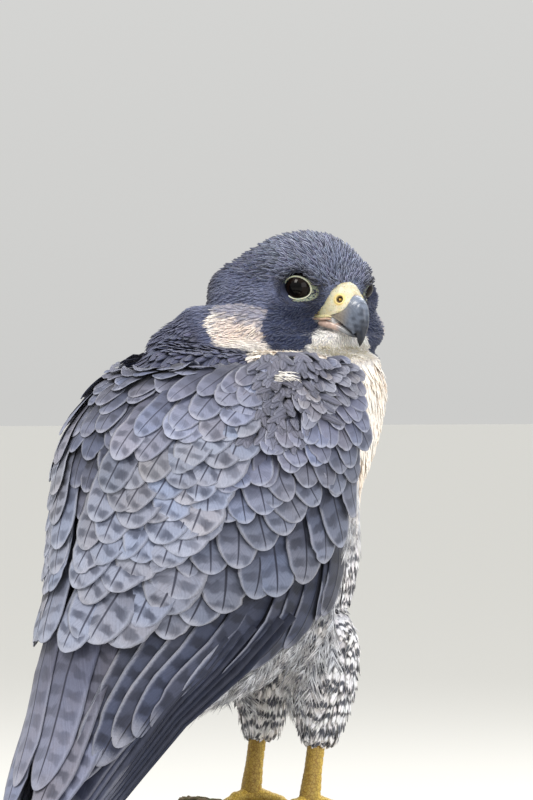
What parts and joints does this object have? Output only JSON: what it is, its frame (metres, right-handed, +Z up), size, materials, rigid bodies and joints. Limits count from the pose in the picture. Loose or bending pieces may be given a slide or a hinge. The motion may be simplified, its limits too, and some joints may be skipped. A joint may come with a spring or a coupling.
{
  "type": "peregrine falcon",
  "caption": "Still, life-size peregrine falcon perched on a cut length of branch over a plain display stand, its head turned over the right shoulder.",
  "frame": {"origin": "on the flat underside of the stand's base, below the perch", "axes": "+Z up, +X the way the bird's body heads, +Y towards its left side"},
  "size_m": [0.2549, 0.168, 0.3918],
  "materials": {
    "hood_feathers": "soft slate-blue feathers",
    "body_feathers": "soft cream feathers, barred dark on the flanks and thighs",
    "flight_feathers": "blue-grey vanes with darker bars and pale edges",
    "eye_surface": "wet, glossy, nearly black",
    "cere_skin": "waxy pale yellow skin",
    "bill_horn": "satin horn, blue-grey to black at the tip",
    "foot_skin": "scaly yellow skin",
    "claw_horn": "satin black horn",
    "branch_bark": "rough mossy bark with pale cut ends",
    "stand_wood": "dark stained and waxed board",
    "stand_steel": "satin steel rods"
  },
  "bodies": {
    "root": {"head": "hood_feathers", "neck": "hood_feathers", "torso": "body_feathers", "leg_left": "body_feathers", "leg_right": "body_feathers", "wing_left": "flight_feathers", "wing_right": "flight_feathers", "tail": "flight_feathers", "eye_left": "eye_surface", "eye_right": "eye_surface", "cere": "cere_skin", "bill_upper": "bill_horn", "bill_lower": "bill_horn", "foot_left": "foot_skin", "foot_right": "foot_skin", "claw_left_inner": "claw_horn", "claw_left_middle": "claw_horn", "claw_left_outer": "claw_horn", "claw_left_hind": "claw_horn", "claw_right_inner": "claw_horn", "claw_right_middle": "claw_horn", "claw_right_outer": "claw_horn", "claw_right_hind": "claw_horn", "perch": "branch_bark", "stand_base": "stand_wood", "stand_rod_left": "stand_steel", "stand_rod_right": "stand_steel"}
  },
  "joints": []
}
